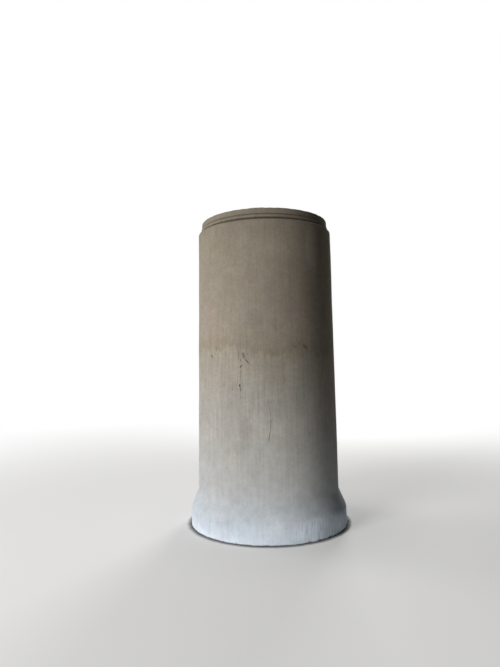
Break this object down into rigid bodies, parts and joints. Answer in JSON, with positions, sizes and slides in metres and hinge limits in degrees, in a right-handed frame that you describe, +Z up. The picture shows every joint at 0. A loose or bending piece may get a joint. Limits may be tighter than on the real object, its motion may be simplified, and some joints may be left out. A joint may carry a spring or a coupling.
{
  "type": "concrete culvert pipe",
  "caption": "Reinforced concrete bell and spigot culvert pipe, standing on its bell as it is stored, with a stepped spigot at the top.",
  "frame": {"origin": "centre of the bell's mouth, on the ground that the pipe stands on", "axes": "+Z up along the pipe's axis, from the bell to the spigot; the pipe is the same all round, so +X and +Y are any two directions across it"},
  "size_m": [1.3198, 1.3198, 2.6],
  "materials": {
    "concrete": "as cast: matt grey, smooth from the steel mould, with fine upright drag lines and a paler bell"
  },
  "bodies": {
    "root": {"concrete_pipe": "concrete"}
  },
  "joints": []
}
